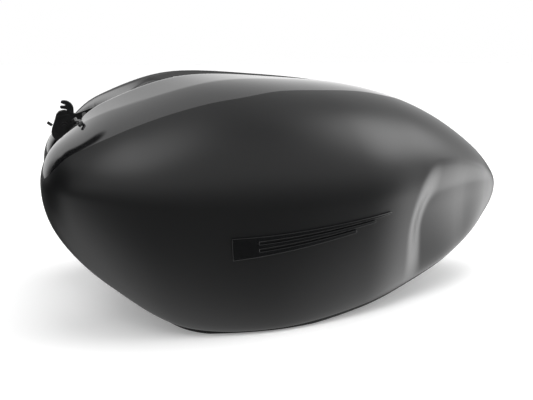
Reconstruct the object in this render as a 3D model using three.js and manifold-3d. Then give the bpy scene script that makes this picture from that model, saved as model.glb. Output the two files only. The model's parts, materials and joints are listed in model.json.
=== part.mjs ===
// Motorcycle fuel tank: a pressed steel shell with a saddle tunnel underneath, a steering head
// recess in front, a flush lockable filler cap and a fuel pump plate in the floor of its left lobe.
// Millimetres. +X rearwards, -Y to the rider's left, +Z up, floor of the seam flanges at z = 0.
import * as THREE from 'three';
import { mergeVertices } from 'three/addons/utils/BufferGeometryUtils.js';
import Module from 'manifold-3d';

// ---- driving dimensions ----

const WALL = 1.2; // sheet thickness
const GAP = 0.35; // clearance at a seam between two pressings
const NOSE_GAP = 2; // the same round the tight turn of the nose
const FIT = 0.3; // clearance between assembled pieces

// The left half of the skin hangs on three rails that run from the steering head recess, round
// the nose and along the side, to the tail. Stations 0 to 10 of the three rails belong together.
const LIP = [ // upper edge: recess corner, nose, channel lip, then the ridge of the tail
  [-230, -46, 211], [-258, -56, 213], [-271, -61, 218], [-261, -66, 232], [-222, -70, 261],
  [-131, -73, 290], [-12, -58, 287], [100, -28, 273], [201, 0, 241], [286, 0, 189], [330, 0, 144],
];
const WAIST = [ // widest line
  [-240, -44, 172], [-289, -57, 171], [-300, -107, 166], [-265, -155, 161], [-182, -192, 152],
  [-56, -202, 143], [72, -180, 142], [165, -140, 143], [236, -103, 143], [300, -58, 136],
  [341, 0, 123],
];
const RIM = [ // lower edge, where the skin meets the tunnel pan
  [-230, -46, 104], [-254, -74, 100], [-247, -113, 86], [-208, -146, 49], [-145, -177, 10],
  [-42, -190, 4], [73, -162, 13], [162, -128, 33], [230, -97, 55], [287, -56, 81], [315, 0, 91],
];
const NOSE_LIP = 2; // station where the lip rail turns back at the nose
const NOSE_RIM = 1.3;

// Knee recess, measured on the skin: front edge station, top edge, corner radius and step.
const KNEE = { station: 6.63, top: 0.77, slope: -0.035, radius: 74, step: 36, depth: 10 };
const KNEE_SPAN = { station: 90, height: 140 }; // millimetres per unit of station and of height

const CHANNEL = { front: -230, capFront: -145, floor: 278, halfFront: 46, capHole: 46 };
const TUNNEL = { half: 46, roof: 104, taperFrom: 200, taperTo: 315, tail: 96, lobeFloor: 24 };
const TUNNEL_END = 22; // slope of the pan's rear end
const FLANGE = { inset: 5, depth: 6, thick: 1.6, from: 3.62, to: 9.2 };

const CAP = { x: -78, ringOuter: 60, ringInner: 42, z: 279.6, top: 283.2, screws: 6, circle: 53 };
const NECK = { flange: 58, top: 276, cup: 44, bore: 27, tube: 29, floor: 266, rim: 271.3, foot: 227 };
const HINGE = { x: -121, z: 281.4, pin: 1.2, lug: 2.2, width: 20 };
const LID = { radius: 41, plate: 279.9, top: 283.4, boss: 36, bossFoot: 274.6, plug: 22, foot: 263 };
const LOCK = { x: -58, radius: 6.5, z: 278.9, top: 283.9 };
const FLAP = { y: 12, radius: 8, thick: 1.5, pin: 1.5, foot: 280.5 };
const LATCH = { rear: -62, front: -36.8, half: 5, z: 276.5 };
const PUMP = { x: -40, y: -128, plate: 44, hole: 33, circle: 38.5, bolts: 5, z: 18.1, start: 0.3 };
const VENT = { x: -70, y: 125, top: 36, radius: 3.5, bore: 2.5 };
const BAFFLE = { x: 40, hole: 18, holeHeight: 175 };
const SENDER = { x: -8, y: -128, z: 96, reach: 62, drop: 0.62 };
const GUIDE = { foot: -209, slope: 0.853, halfWidth: 11, screws: [-7, 7] };
const FRONT_MOUNT = { x: -208, y: 34, z: 84 };
const REAR_MOUNT = { x: 298, z: 78.5 };
const BUSH = { ear: 9, outer: 8.7, flange: 12, bore: 5.9, half: 1.9, lip: 2.5 };
const SLEEVE = { outer: 5.6, bore: 4.2, half: 5.5 };
const CLEARANCE_HOLE = 2.8; // radius for an M5 screw
const SCREW = 2.5; // its shank

// The working datum above lies this far in front of the middle of the tank's length.
const MIDDLE = 19.8;

// ---- materials ----

const paint = (color, roughness, metalness = 0.1) =>
  () => new THREE.MeshStandardMaterial({ color, roughness, metalness });
const satinBlack = paint(0x37383b, 0.5);
const glossBlack = paint(0x1b1b1d, 0.12);
const primer = paint(0x3c3e41, 0.6);
const castAlloy = paint(0x8f9295, 0.4, 0.85);
const darkAlloy = paint(0x2a2b2d, 0.35, 0.7);
const zincSteel = paint(0xb6b8b4, 0.35, 0.95);
const rubber = paint(0x161616, 0.85, 0);
const blackPlastic = paint(0x1f2022, 0.55, 0);
const palePlastic = paint(0xd9d6c8, 0.5, 0);

// ---- solids ----

const wasm = await Module();
wasm.setup();

const bare = (geometry) => {
  const plain = geometry.index ? geometry.toNonIndexed() : geometry.clone();
  for (const name of Object.keys(plain.attributes)) {
    if (name !== 'position') plain.deleteAttribute(name);
  }
  return mergeVertices(plain, 1e-3);
};

const volumeOf = (geometry) => {
  const p = geometry.attributes.position;
  const corner = [new THREE.Vector3(), new THREE.Vector3(), new THREE.Vector3()];
  let sum = 0;
  for (let i = 0; i < geometry.index.count; i += 3) {
    corner.forEach((c, k) => c.fromBufferAttribute(p, geometry.index.getX(i + k)));
    sum += corner[0].dot(corner[1].cross(corner[2]));
  }
  return sum;
};

// Merged vertices, no collapsed triangles and every face pointing out.
const tidy = (geometry) => {
  const merged = bare(geometry);
  const flip = volumeOf(merged) < 0;
  const index = [];
  for (let i = 0; i < merged.index.count; i += 3) {
    const [a, b, c] = [0, 1, 2].map((k) => merged.index.getX(i + k));
    if (a === b || b === c || c === a) continue;
    if (flip) index.push(a, c, b);
    else index.push(a, b, c);
  }
  merged.setIndex(index);
  return merged;
};

const toSolid = (geometry) => {
  const closed = tidy(geometry);
  return new wasm.Manifold(new wasm.Mesh({
    numProp: 3,
    vertProperties: Float32Array.from(closed.attributes.position.array),
    triVerts: Uint32Array.from(closed.index.array),
  }));
};

const fromSolid = (solid) => {
  const mesh = solid.getMesh();
  const geometry = new THREE.BufferGeometry();
  geometry.setAttribute('position', new THREE.BufferAttribute(mesh.vertProperties, 3));
  geometry.setIndex(Array.from(mesh.triVerts));
  return geometry;
};

const join = (...parts) => fromSolid(parts.map(toSolid).reduce((a, b) => a.add(b)));
const cut = (from, ...tools) => fromSolid(tools.map(toSolid).reduce((a, b) => a.subtract(b),
  toSolid(from)));

const group = new THREE.Group();
group.position.x = -MIDDLE;
const add = (name, geometry, material) => {
  const closed = tidy(geometry);
  closed.computeVertexNormals();
  const mesh = new THREE.Mesh(closed, material());
  mesh.name = name;
  group.add(mesh);
};

// ---- simple shapes, all standing along +Z unless said otherwise ----

const block = (x0, x1, y0, y1, z0, z1) =>
  new THREE.BoxGeometry(x1 - x0, y1 - y0, z1 - z0)
    .translate((x0 + x1) / 2, (y0 + y1) / 2, (z0 + z1) / 2);

const rod = (radius, z0, z1, x = 0, y = 0, sides = 20) =>
  new THREE.CylinderGeometry(radius, radius, z1 - z0, sides)
    .rotateX(Math.PI / 2)
    .translate(x, y, (z0 + z1) / 2);

const rodAlongY = (radius, y0, y1, x, z, sides = 16) =>
  new THREE.CylinderGeometry(radius, radius, y1 - y0, sides).translate(x, (y0 + y1) / 2, z);

const turned = (profile, sides) => {
  const points = [...profile, profile[0]].map(([r, z]) => new THREE.Vector2(r, z));
  return new THREE.LatheGeometry(points, sides).rotateX(Math.PI / 2);
};

const ring = (inner, outer, z0, z1, x = 0, y = 0, sides = 32) =>
  turned([[inner, z0], [outer, z0], [outer, z1], [inner, z1]], sides).translate(x, y, 0);

// An outline in the XZ plane given thickness along Y.
const sidePlate = (outline, y0, y1, arcs = 8) => {
  const shape = outline instanceof THREE.Shape ? outline
    : new THREE.Shape(outline.map(([x, z]) => new THREE.Vector2(x, z)));
  return new THREE.ExtrudeGeometry(shape, { depth: y1 - y0, bevelEnabled: false, curveSegments: arcs })
    .rotateX(Math.PI / 2)
    .translate(0, y1, 0);
};

const pipe = (points, radius, bore, steps, sides = 4) => {
  const path = new THREE.CatmullRomCurve3(points.map((p) => new THREE.Vector3(...p)));
  const section = new THREE.Shape().absarc(0, 0, radius, 0, 2 * Math.PI);
  if (bore) section.holes.push(new THREE.Path().absarc(0, 0, bore, 0, 2 * Math.PI));
  return new THREE.ExtrudeGeometry(section, {
    steps, extrudePath: path, curveSegments: sides, bevelEnabled: false,
  });
};

const mirrored = (geometry) => geometry.clone().scale(1, -1, 1);
const around = (count, radius, start = 0) => Array.from({ length: count }, (_, k) => {
  const angle = start + (2 * Math.PI * k) / count;
  return [radius * Math.cos(angle), radius * Math.sin(angle)];
});
const clamp = (v) => Math.min(1, Math.max(0, v));
const ease = (v) => clamp(v) * clamp(v) * (3 - 2 * clamp(v));
const mix = (a, b, k) => a + (b - a) * k;
const spread = (from, to, count) =>
  Array.from({ length: count + 1 }, (_, k) => mix(from, to, k / count));

// ---- the skin surface ----

// Catmull-Rom rail; past the tail it goes on as its own mirror image, so the tail is round.
const rail = (points, s) => {
  const last = points.length - 1;
  const i = Math.min(Math.floor(s), last - 1);
  const u = s - i;
  const [ax, ay, az] = points[0];
  const before = [2 * ax - points[1][0], 2 * ay - points[1][1], 2 * az - points[1][2]];
  const [bx, by, bz] = points[last - 1];
  const p = (k) => (k < 0 ? before : k > last ? [bx, -by, bz] : points[k]);
  const [p0, p1, p2, p3] = [p(i - 1), p(i), p(i + 1), p(i + 2)];
  return new THREE.Vector3(...[0, 1, 2].map((k) => 0.5 * (2 * p1[k] + (p2[k] - p0[k]) * u
    + (2 * p0[k] - 5 * p1[k] + 4 * p2[k] - p3[k]) * u * u
    + (3 * p1[k] - p0[k] - 3 * p2[k] + p3[k]) * u * u * u)));
};

// Two quarter ellipses per station: t = 0 at the lip, 1 at the waist, 2 at the rim.
const loft = (s, t) => {
  const waist = rail(WAIST, s);
  const angle = (t < 1 ? t : t - 1) * (Math.PI / 2);
  const end = t < 1 ? rail(LIP, s) : rail(RIM, s);
  const out = t < 1 ? 1 - Math.sin(angle) : 1 - Math.cos(angle);
  const high = t < 1 ? Math.cos(angle) : Math.sin(angle);
  return new THREE.Vector3(
    mix(waist.x, end.x, out), mix(waist.y, end.y, out), mix(waist.z, end.z, high),
  );
};

const STEP = 0.004;
const outward = (s, t) => {
  const along = loft(Math.min(10, s + STEP), t).sub(loft(Math.max(0, s - STEP), t));
  const down = loft(s, Math.min(2, t + STEP)).sub(loft(s, Math.max(0, t - STEP)));
  return down.cross(along).normalize();
};

const kneeDepth = (s, t) => {
  const inX = (s - KNEE.station) * KNEE_SPAN.station;
  const inZ = (t - KNEE.top - KNEE.slope * (s - 7.7)) * KNEE_SPAN.height;
  const corner = Math.hypot(Math.max(0, KNEE.radius - inX), Math.max(0, KNEE.radius - inZ));
  const fade = ease((9.6 - s) / 1.4) * ease((1.95 - t) / 0.8);
  return KNEE.depth * ease((KNEE.radius - corner) / KNEE.step) * fade;
};

const skin = (s, t, lift = 0) =>
  loft(s, t).addScaledVector(outward(s, t), lift - kneeDepth(s, t));

// ---- sheets: a grid of points, thickened and closed all round ----

const sheet = (columns, rows, outer, inner, keep = () => true) => {
  const side = (columns + 1) * (rows + 1);
  const at = (face, i, j) => face * side + i * (rows + 1) + j;
  const kept = (i, j) => i >= 0 && j >= 0 && i < columns && j < rows && keep(i, j);
  const position = [];
  for (const place of [outer, inner]) {
    for (let i = 0; i <= columns; i += 1) {
      for (let j = 0; j <= rows; j += 1) position.push(...place(i, j).toArray());
    }
  }
  const index = [];
  const wall = (a, b) => index.push(b, a, a + side, b, a + side, b + side);
  for (let i = 0; i < columns; i += 1) {
    for (let j = 0; j < rows; j += 1) {
      if (!kept(i, j)) continue;
      const [a, b, c, d] = [at(0, i, j), at(0, i + 1, j), at(0, i + 1, j + 1), at(0, i, j + 1)];
      index.push(a, b, c, a, c, d, a + side, c + side, b + side, a + side, d + side, c + side);
      if (!kept(i, j - 1)) wall(a, b);
      if (!kept(i + 1, j)) wall(b, c);
      if (!kept(i, j + 1)) wall(c, d);
      if (!kept(i - 1, j)) wall(d, a);
    }
  }
  const geometry = new THREE.BufferGeometry();
  geometry.setAttribute('position', new THREE.Float32BufferAttribute(position, 3));
  geometry.setIndex(index);
  return geometry;
};

// Points on the side of a rail that faces the middle of the tank, a given distance in.
const inboard = (points, s, distance) => {
  const along = rail(points, Math.min(10, s + 0.02)).sub(rail(points, Math.max(0, s - 0.02)));
  const aside = new THREE.Vector3(-along.y, along.x, 0).normalize();
  return rail(points, s).addScaledVector(aside, distance);
};

// ---- outer skin ----

const STATIONS = [
  ...spread(0, 3, 9), ...spread(3.4, 6.3, 6), 6.55, 6.66, 6.77, 6.88, 7.05, 7.35, 7.65, 7.95,
  ...spread(8.35, 9.9, 4), 10,
];
const HEIGHTS = [
  0, 0.1, 0.24, 0.4, 0.58, 0.74, 0.86, 0.98, 1.13, 1.34, 1.57, 1.8, 1.92, 2,
];
const CENTRE_GAP = 0.15;

const offCentre = (p) => {
  p.y = Math.min(p.y, -CENTRE_GAP);
  return p;
};

const sideShell = sheet(
  STATIONS.length - 1, HEIGHTS.length - 1,
  (i, j) => offCentre(skin(STATIONS[i], HEIGHTS[j])),
  (i, j) => offCentre(skin(STATIONS[i], HEIGHTS[j], -WALL)),
);
add('left_side_shell', sideShell, satinBlack);
add('right_side_shell', mirrored(sideShell), satinBlack);

// Steering head recess: the wall that joins the two lobes in front.
const headRecessWall = () => {
  const across = 6;
  const place = (depth) => (i, j) => {
    const t = HEIGHTS[j];
    const edge = loft(0, t);
    const run = loft(0, Math.min(2, t + STEP)).sub(loft(0, Math.max(0, t - STEP)));
    const inwards = new THREE.Vector3(-run.z, 0, run.x).normalize().multiplyScalar(depth);
    return new THREE.Vector3(edge.x, mix(edge.y + GAP, -edge.y - GAP, i / across), edge.z)
      .add(inwards);
  };
  return sheet(across, HEIGHTS.length - 1, place(0), place(WALL));
};
add('head_recess_wall', headRecessWall(), glossBlack);

// ---- centre channel: the top panel between the two lips ----

const channelFloor = (x) => {
  const rise = clamp((x - CHANNEL.front) / (CHANNEL.capFront - CHANNEL.front));
  return mix(LIP[0][2], CHANNEL.floor, Math.sin(rise * (Math.PI / 2)));
};

const channelRows = () => {
  const frontSteps = 6;
  const startAt = 3.8; // station where the lip passes the recess wall
  const front = Array.from({ length: frontSteps }, (_, k) => {
    const share = (k + 1) / (frontSteps + 1);
    return {
      outer: inboard(LIP, mix(NOSE_LIP, startAt, share), NOSE_GAP),
      inner: inboard(LIP, mix(NOSE_LIP, 0, share), NOSE_GAP),
      open: true,
    };
  });
  const body = [startAt, ...STATIONS.filter((s) => s > startAt && s < 8)].map((s, k) => {
    const outer = inboard(LIP, s, GAP);
    const rise = (outer.x - CHANNEL.front) / (CHANNEL.capFront - CHANNEL.front);
    const half = mix(CHANNEL.halfFront, -outer.y * 0.9, ease(rise));
    const inner = k === 0
      ? new THREE.Vector3(CHANNEL.front + GAP, -CHANNEL.halfFront, channelFloor(CHANNEL.front))
      : new THREE.Vector3(outer.x, -half, Math.min(outer.z, channelFloor(outer.x)));
    return { outer, inner, open: false };
  });
  return [...front, ...body];
};

const channelPanel = () => {
  const rows = channelRows();
  const columns = 6; // from one lip to the centre line
  const slope = 4; // of which on the side wall of the channel
  const place = (i, j) => {
    const { outer, inner } = rows[i];
    const c = Math.min(j, 2 * columns - j);
    const share = Math.min(1, c / slope);
    const p = new THREE.Vector3(
      mix(outer.x, inner.x, share), mix(outer.y, inner.y, share), mix(outer.z, inner.z, ease(share)),
    );
    if (c > slope) p.y = inner.y * (columns - c) / (columns - slope);
    if (j > columns) p.y = -p.y;
    return p;
  };
  const below = (i, j) => {
    const last = rows.length - 1;
    const along = place(Math.min(last, i + 1), j).sub(place(Math.max(0, i - 1), j));
    const across = place(i, Math.min(2 * columns, j + 1)).sub(place(i, Math.max(0, j - 1)));
    const up = Math.abs(along.cross(across).normalize().z);
    return place(i, j).add(new THREE.Vector3(0, 0, -WALL / Math.max(0.4, up)));
  };
  const keep = (i, j) => {
    const c = j < columns ? j : 2 * columns - 1 - j;
    return !rows[i].open || c < slope;
  };
  return sheet(rows.length - 1, 2 * columns, place, below, keep);
};

const guideTurn = (geometry) =>
  geometry.rotateY(-GUIDE.slope).translate(GUIDE.foot, 0, channelFloor(GUIDE.foot));
const capScrewPlaces = around(CAP.screws, CAP.circle, Math.PI / 6).map(([x, y]) => [CAP.x + x, y]);
const capHoles = (z0, z1) => capScrewPlaces.map(([x, y]) => rod(CLEARANCE_HOLE, z0, z1, x, y, 8));

add('centre_channel_panel', cut(
  channelPanel(),
  rod(CHANNEL.capHole, NECK.floor, 300, CAP.x, 0, 28),
  ...capHoles(NECK.floor, 300),
  ...GUIDE.screws.map((y) => guideTurn(rod(2.2, -8, 8, 0, y, 10))),
), glossBlack);

// ---- tunnel pan: the floor of both lobes and the tunnel over the frame ----

const roofAt = (x) => mix(TUNNEL.roof, TUNNEL.tail,
  clamp((x - TUNNEL.taperFrom) / (TUNNEL.taperTo - TUNNEL.taperFrom)));

// Across one half, from the rim inwards: share of the way on a plain slope, and the place on the
// formed section, which is a land, a rise to the lobe floor, then the tunnel wall and its roof.
const PAN_SECTION = [
  { plain: 0, in: GAP },
  { plain: 0.15, in: 8 },
  { plain: 0.3, in: 16, floor: 1 },
  { plain: 0.7, across: 0.78, floor: 1 },
  { plain: 0.85, across: 0.92, roof: 0.85 },
  { plain: 1, across: 1, roof: 1 },
];

const PAN_START = 2.45; // station where the rim passes the recess wall
const panRows = () => {
  const frontSteps = 5;
  const front = Array.from({ length: frontSteps }, (_, k) => {
    const share = (k + 1) / (frontSteps + 1);
    return {
      station: mix(NOSE_RIM, PAN_START, share),
      inner: inboard(RIM, mix(NOSE_RIM, 0, share), NOSE_GAP),
      open: true,
    };
  });
  const body = [PAN_START, ...STATIONS.filter((s) => s > PAN_START && s < 10), 9.98].map((s, k) => {
    const outer = rail(RIM, s);
    const half = Math.min(TUNNEL.half, -outer.y * 0.55);
    const x = k === 0 ? CHANNEL.front + GAP : outer.x - TUNNEL_END * ease((s - 8.6) / 1.4);
    return {
      station: s,
      inner: new THREE.Vector3(x, -half, k === 0 ? RIM[0][2] : Math.max(roofAt(x), outer.z + 1)),
      open: false,
    };
  });
  return [...front, ...body];
};

const panHalf = ({ station, inner, open }, c) => {
  const section = PAN_SECTION[Math.min(c, PAN_SECTION.length - 1)];
  const rim = inboard(RIM, station, open ? NOSE_GAP : GAP);
  const floor = Math.min(Math.max(TUNNEL.lobeFloor, rim.z + 8), mix(rim.z, inner.z, 0.5));
  const formed = inboard(RIM, station, section.in ?? 16).lerp(inner, section.across ?? 0);
  formed.z = section.roof ? mix(floor, inner.z, section.roof) : mix(rim.z, floor, section.floor ?? 0);
  return rim.lerp(inner, section.plain).lerp(formed, ease((station - PAN_START) / 1.2));
};

const tunnelPan = () => {
  const rows = panRows();
  const slope = PAN_SECTION.length - 1;
  const columns = slope + 1;
  const place = (i, j) => {
    const c = Math.min(j, 2 * columns - j);
    const p = panHalf(rows[i], c);
    if (c > slope) p.y = 0;
    if (j > columns) p.y = -p.y;
    return p;
  };
  const above = (i, j) => {
    const last = rows.length - 1;
    const along = place(Math.min(last, i + 1), j).sub(place(Math.max(0, i - 1), j));
    const across = place(i, Math.min(2 * columns, j + 1)).sub(place(i, Math.max(0, j - 1)));
    const normal = along.cross(across).normalize();
    if (normal.z < 0) normal.negate();
    const c = Math.min(j, 2 * columns - j);
    if (c === 0 || (rows[i].open && c === slope)) normal.set(0, 0, 1);
    return place(i, j).addScaledVector(normal, WALL);
  };
  const keep = (i, j) => {
    const c = j < columns ? j : 2 * columns - 1 - j;
    return !rows[i].open || c < slope;
  };
  return sheet(rows.length - 1, 2 * columns, place, above, keep);
};

const pumpBoltPlaces = around(PUMP.bolts, PUMP.circle, PUMP.start)
  .map(([x, y]) => [PUMP.x + x, PUMP.y + y]);
const pumpHoles = (z0, z1) => pumpBoltPlaces.map(([x, y]) => rod(CLEARANCE_HOLE, z0, z1, x, y, 8));

add('tunnel_pan', cut(
  tunnelPan(),
  rod(PUMP.hole, 10, 40, PUMP.x, PUMP.y, 28),
  ...pumpHoles(10, 40),
  rod(VENT.radius + 0.4, 10, 40, VENT.x, VENT.y, 16),
), primer);

// Folded seam flanges under the rim; the tank rests on their flat middle part.
const seamFlange = () => {
  const stations = [FLANGE.from, ...STATIONS.filter((s) => s > FLANGE.from && s < FLANGE.to)];
  const place = (extra) => (i, j) => {
    const p = inboard(RIM, stations[i], FLANGE.inset + extra);
    p.z = j === 0 ? p.z - FIT : Math.max(0, p.z - FLANGE.depth);
    return p;
  };
  return sheet(stations.length - 1, 1, place(0), place(FLANGE.thick));
};
add('seam_flange_left', seamFlange(), satinBlack);
add('seam_flange_right', mirrored(seamFlange()), satinBlack);

// ---- raised side badges: three tapering bars on a common spine ----

const sideBadge = () => {
  const from = 4.66;
  const to = 6.3;
  const columns = 14;
  const lines = [-1, -0.5, -0.25, 0.22, 0.47, 1]; // bar, slot, bar, slot, bar
  const length = [14, 9, 12, 7, 10]; // cells along each line
  const spine = 2;
  const place = (lift) => (i, j) => {
    const s = mix(from, to, i / columns);
    const taper = mix(1, 0.45, i / columns);
    const t = mix(1.185, 1.09, i / columns) + lines[j] * 0.06 * taper;
    return skin(s, t, lift);
  };
  const keep = (i, j) => (j % 2 === 0 ? i < length[j] : i < spine);
  return sheet(columns, lines.length - 1, place(2.4), place(FIT), keep);
};
add('badge_left', sideBadge(), satinBlack);
add('badge_right', mirrored(sideBadge()), satinBlack);

// ---- filler neck and cap ----

const fillerNeck = cut(
  turned([
    [NECK.flange, NECK.top], [NECK.flange, NECK.top - 3], [NECK.cup + 2, NECK.top - 3],
    [NECK.cup + 2, NECK.floor - 2], [NECK.tube, NECK.floor - 2], [NECK.tube, NECK.foot],
    [NECK.bore, NECK.foot], [NECK.bore, NECK.rim], [NECK.tube, NECK.rim],
    [NECK.tube, NECK.floor], [NECK.cup, NECK.floor], [NECK.cup, NECK.top],
  ], 24).translate(CAP.x, 0, 0),
  ...capHoles(NECK.floor, 300),
  rod(VENT.bore, NECK.floor - 5, NECK.floor + 3, CAP.x, VENT.top, 10),
);
add('filler_neck', fillerNeck, primer);

add('cap_gasket', ring(CHANNEL.capHole, CHANNEL.capHole + 4, CHANNEL.floor + FIT, CAP.z - FIT,
  CAP.x, 0, 28), rubber);

const capRing = cut(
  turned([
    [CAP.ringInner, CAP.z], [CAP.ringOuter, CAP.z], [CAP.ringOuter, CAP.top - 1],
    [CAP.ringOuter - 1.2, CAP.top], [CAP.ringInner, CAP.top],
  ], 36).translate(CAP.x, 0, 0),
  ...capHoles(NECK.floor, 300),
  block(HINGE.x - 5, HINGE.x + 6, -11, 11, NECK.floor, 300),
  rodAlongY(HINGE.pin + FIT, -17, 17, HINGE.x, HINGE.z),
);
add('cap_ring', capRing, glossBlack);

capScrewPlaces.forEach(([x, y], k) => {
  add(`cap_screw_${k + 1}`, cut(
    join(
      rod(SCREW, NECK.floor + 2, CAP.top + 1, x, y, 8),
      rod(4.4, CAP.top + FIT, CAP.top + 1.8, x, y, 14),
    ),
    rod(2, CAP.top + 0.8, CAP.top + 3, x, y, 6),
  ), zincSteel);
});

const lidDisc = cut(
  turned([
    [0, LID.foot], [LID.plug - 2, LID.foot], [LID.plug, LID.foot + 2], [LID.plug, LID.bossFoot],
    [LID.boss, LID.bossFoot], [LID.boss, LID.plate], [LID.radius, LID.plate],
    [LID.radius, LID.top - 0.8], [LID.radius - 1, LID.top], [0, LID.top],
  ], 32).translate(CAP.x, 0, 0),
  block(HINGE.x - 19, HINGE.x + 9, -40, 40, LID.plate - 0.01, 300),
);
const hingeLug = join(
  block(HINGE.x, HINGE.x + 16, -HINGE.width / 2, HINGE.width / 2, LID.plate, HINGE.z + HINGE.lug),
  rodAlongY(HINGE.lug, -HINGE.width / 2, HINGE.width / 2, HINGE.x, HINGE.z),
);
add('cap_lid', cut(
  join(lidDisc, hingeLug),
  rodAlongY(HINGE.pin + FIT, -20, 20, HINGE.x, HINGE.z),
  rod(LOCK.radius + FIT, LOCK.z - FIT, 300, LOCK.x, 0, 24),
  rod(FLAP.pin + FIT, FLAP.foot - FIT, 300, LOCK.x, FLAP.y, 12),
  block(LATCH.rear, LATCH.front + 2, -LATCH.half - FIT, LATCH.half + FIT,
    LATCH.z - FIT, LOCK.z),
), glossBlack);
add('cap_hinge_pin', rodAlongY(HINGE.pin, -16.6, 16.6, HINGE.x, HINGE.z), zincSteel);
add('lid_seal', ring(LID.plug + FIT, 31, NECK.rim + FIT, LID.bossFoot - FIT, CAP.x), rubber);
add('lock_plug', cut(
  rod(LOCK.radius, LOCK.z, LOCK.top, LOCK.x, 0, 24),
  block(LOCK.x - 4, LOCK.x + 4, -0.6, 0.6, LOCK.top - 2, 300),
), zincSteel);
add('key_flap', join(
  rod(FLAP.radius, LOCK.top + FIT, LOCK.top + FLAP.thick, LOCK.x, 0, 24),
  block(LOCK.x - 3, LOCK.x + 3, 4, FLAP.y, LOCK.top + FIT, LOCK.top + FLAP.thick),
  rod(3, LOCK.top + FIT, LOCK.top + FLAP.thick, LOCK.x, FLAP.y, 16),
  rod(FLAP.pin, FLAP.foot, LOCK.top + 1, LOCK.x, FLAP.y, 12),
), darkAlloy);
add('cap_latch', join(
  block(LATCH.rear + 8, LATCH.front, -LATCH.half, LATCH.half, LATCH.z, LATCH.z + 1.8),
  block(LATCH.rear + 8, LATCH.rear + 12, -LATCH.half, LATCH.half, LATCH.z, LATCH.z + 2),
), zincSteel);

// ---- vent and drain, and the slosh baffle ----

add('vent_pipe', pipe([
  [CAP.x, VENT.top, NECK.floor - 3], [CAP.x, 40, 246], [CAP.x + 4, 84, 200], [VENT.x, 118, 130],
  [VENT.x, VENT.y, 70], [VENT.x, VENT.y, 11],
], VENT.radius, VENT.bore, 14), zincSteel);

const baffleOutline = () => {
  const shape = new THREE.Shape([
    [-70, 105.6], [70, 105.6], [120, 150], [120, 205], [70, 250], [-70, 250], [-120, 205],
    [-120, 150],
  ].map(([y, z]) => new THREE.Vector2(y, z)));
  for (const y of [-70, 0, 70]) {
    shape.holes.push(new THREE.Path().absarc(y, BAFFLE.holeHeight, BAFFLE.hole, 0, 2 * Math.PI));
  }
  return shape;
};
add('slosh_baffle', new THREE.ExtrudeGeometry(baffleOutline(), {
  depth: WALL, bevelEnabled: false, curveSegments: 6,
}).rotateX(Math.PI / 2).rotateZ(Math.PI / 2).translate(BAFFLE.x, 0, 0), primer);

// ---- fuel pump module ----

const atPump = (geometry) => geometry.translate(PUMP.x, PUMP.y, 0);
add('pump_stud_ring', cut(
  ring(PUMP.hole + 0.5, 43, 25.5, 29.5, PUMP.x, PUMP.y, 20),
  ...pumpHoles(20, 40),
), zincSteel);
add('pump_gasket', cut(
  ring(PUMP.hole, 43, 22.4, 23.7, PUMP.x, PUMP.y, 20),
  ...pumpHoles(20, 40),
), rubber);
add('pump_plate', cut(rod(PUMP.plate, PUMP.z, PUMP.z + 4, PUMP.x, PUMP.y, 40), ...pumpHoles(10, 40)),
  castAlloy);
pumpBoltPlaces.forEach(([x, y], k) => {
  add(`pump_bolt_${k + 1}`, join(
    rod(SCREW, 14, 29, x, y, 8),
    rod(4.5, PUMP.z - 4.3, PUMP.z - FIT, x, y, 6),
  ), zincSteel);
});
add('pump_cradle', cut(
  join(
    atPump(rod(24, PUMP.z + 4.3, 40, 0, 0, 32)),
    atPump(block(18, 30, -6, 6, PUMP.z + 4.3, 112)),
  ),
  atPump(rod(18.8, 27, 120, 0, 0, 32)),
), blackPlastic);
add('fuel_pump', atPump(join(
  rod(18.5, 27.4, 96, 0, 0, 28), rod(6, 96, 104, 0, 0, 16), rod(4, 104, 112, 0, 0, 12),
)), zincSteel);
add('pump_strainer', atPump(block(-20, 20, -33, -25, 31, 45)), palePlastic);
add('fuel_outlet', atPump(cut(
  join(
    rod(6, 6, PUMP.z - FIT, 12, 10, 16),
    rodAlongY(3.6, 10, 32, 12, 9.5, 14),
    rodAlongY(4.6, 24, 27, 12, 9.5, 14),
  ),
  rodAlongY(1.9, 12, 40, 12, 9.5, 8),
)), blackPlastic);
add('pump_connector', atPump(cut(
  block(-24, -6, -6, 8, 5, PUMP.z - FIT), block(-22, -8, -8, 2, 7, 15),
)), blackPlastic);

// ---- fuel level sender ----

add('level_sender', cut(
  block(SENDER.x - 1.7, SENDER.x + 8, SENDER.y - 9, SENDER.y - 1, SENDER.z - 10, SENDER.z + 12),
  rodAlongY(1.8, SENDER.y - 12, SENDER.y + 2, SENDER.x + 3, SENDER.z),
), palePlastic);
const floatEnd = {
  x: SENDER.x + 3 + SENDER.reach * Math.cos(SENDER.drop),
  z: SENDER.z - SENDER.reach * Math.sin(SENDER.drop),
};
const armRod = new THREE.CylinderGeometry(1.3, 1.3, SENDER.reach, 8)
  .rotateZ(-Math.PI / 2)
  .translate(SENDER.reach / 2, 0, 0)
  .rotateY(SENDER.drop)
  .translate(SENDER.x + 3, SENDER.y + 2, SENDER.z);
add('float_arm', join(
  armRod,
  rodAlongY(1.4, SENDER.y - 8, SENDER.y + 2.5, SENDER.x + 3, SENDER.z, 10),
  rodAlongY(1.4, SENDER.y + 1.5, SENDER.y + 13, floatEnd.x, floatEnd.z, 10),
), zincSteel);
add('float', cut(
  block(floatEnd.x - 16, floatEnd.x + 16, SENDER.y + 3.6, SENDER.y + 20, floatEnd.z - 7,
    floatEnd.z + 7),
  rodAlongY(1.8, SENDER.y, SENDER.y + 14, floatEnd.x, floatEnd.z, 12),
), blackPlastic);

// ---- frame mounts ----

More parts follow.
